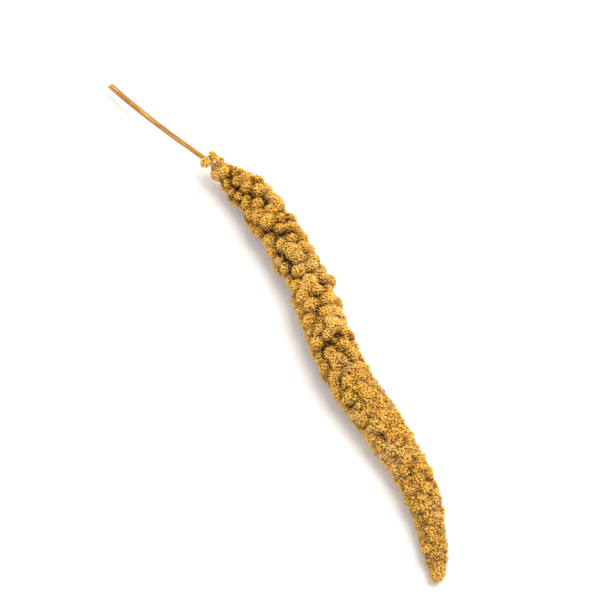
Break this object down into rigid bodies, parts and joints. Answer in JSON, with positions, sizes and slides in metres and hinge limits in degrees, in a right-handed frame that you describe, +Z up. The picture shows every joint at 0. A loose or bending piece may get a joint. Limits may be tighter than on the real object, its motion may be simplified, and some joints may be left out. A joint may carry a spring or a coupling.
{
  "type": "foxtail millet head",
  "caption": "Dried foxtail millet head lying on its side: a slender bent head of round seed clusters on a cut straw stalk.",
  "frame": {"origin": "centre of the bounding box in plan, on the surface that the head lies on", "axes": "+X from the cut end of the stalk to the tip of the head, +Z up as it lies"},
  "size_m": [0.359, 0.0499, 0.0269],
  "materials": {
    "millet_seed": "dry golden-brown seeds and their papery husks, matt with a slight sheen on each seed",
    "straw": "dry pale golden straw with fine lengthwise ribs, slightly glossy"
  },
  "bodies": {
    "root": {"seed_head": "millet_seed", "stalk": "straw"}
  },
  "joints": []
}
